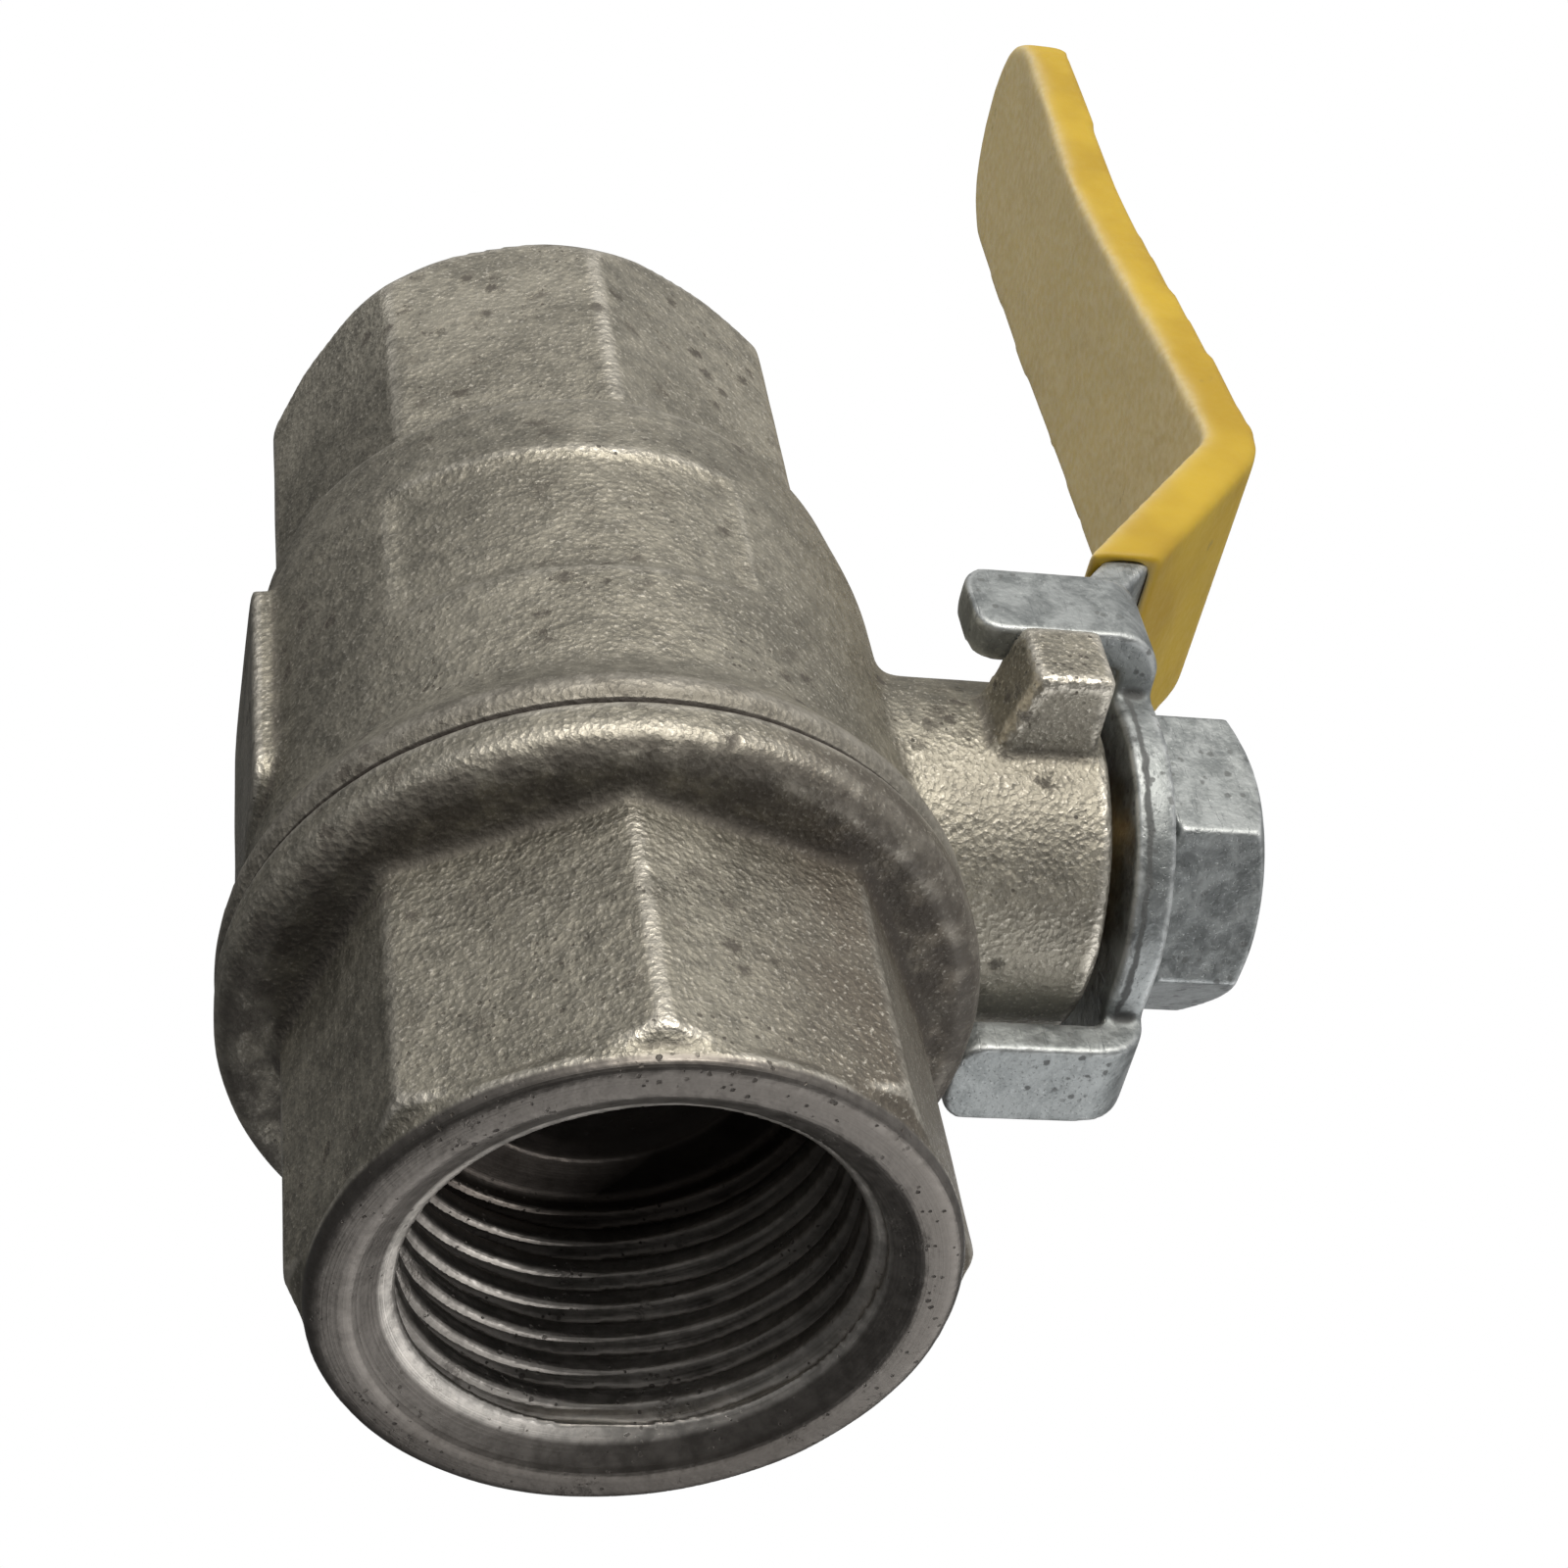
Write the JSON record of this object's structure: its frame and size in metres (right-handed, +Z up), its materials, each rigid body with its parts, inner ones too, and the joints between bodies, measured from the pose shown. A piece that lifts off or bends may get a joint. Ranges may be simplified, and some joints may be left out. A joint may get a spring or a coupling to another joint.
{
  "type": "lever ball valve",
  "caption": "Two-piece female-threaded lever ball valve: octagonal ends, flanged cap, necked body with a stop lug, and a cranked quarter-turn lever with a soft sleeve.",
  "frame": {"origin": "on the flow axis where the inlet thread starts, 1.3 mm inside the mouth of the end cap", "axes": "+Y along the flow from inlet to outlet, +Z up the stem, +X across; the lever points along +Y when open"},
  "size_m": [0.0334, 0.1062, 0.0552],
  "materials": {
    "nickel_plated_brass": "nickel-plated forged brass, dull grey with fine grain and dark pits",
    "stem_brass": "turned bare brass",
    "chromed_ball": "polished chromed brass",
    "ptfe": "white PTFE",
    "zinc_plated_steel": "blue-white zinc-plated pressed steel, satin",
    "yellow_pvc": "yellow dipped PVC, soft satin"
  },
  "bodies": {
    "shell": {"valve_body": "nickel_plated_brass", "end_cap": "nickel_plated_brass", "joint_seal": "ptfe", "seat_inlet": "ptfe", "seat_outlet": "ptfe", "packing_gland": "stem_brass", "packing_ring_1": "ptfe", "packing_ring_2": "ptfe"},
    "stem_and_lever": {"stem": "stem_brass", "thrust_washer": "ptfe", "lever": "zinc_plated_steel", "grip_sleeve": "yellow_pvc", "lever_nut": "zinc_plated_steel"},
    "ball": {"ball": "chromed_ball"}
  },
  "joints": [
    {"name": "lever_turn", "type": "hinge", "parent": "shell", "child": "stem_and_lever", "pos_m": [0, 0.0268, 0], "axis": [0, 0, 1], "range_deg": [-90, 0]},
    {"name": "ball_turn", "type": "hinge", "parent": "shell", "child": "ball", "pos_m": [0, 0.0268, 0], "axis": [0, 0, 1], "range_deg": [-90, 0]}
  ],
  "couplings": [
    {"joint": "ball_turn", "follows": "lever_turn", "ratio": 1}
  ]
}
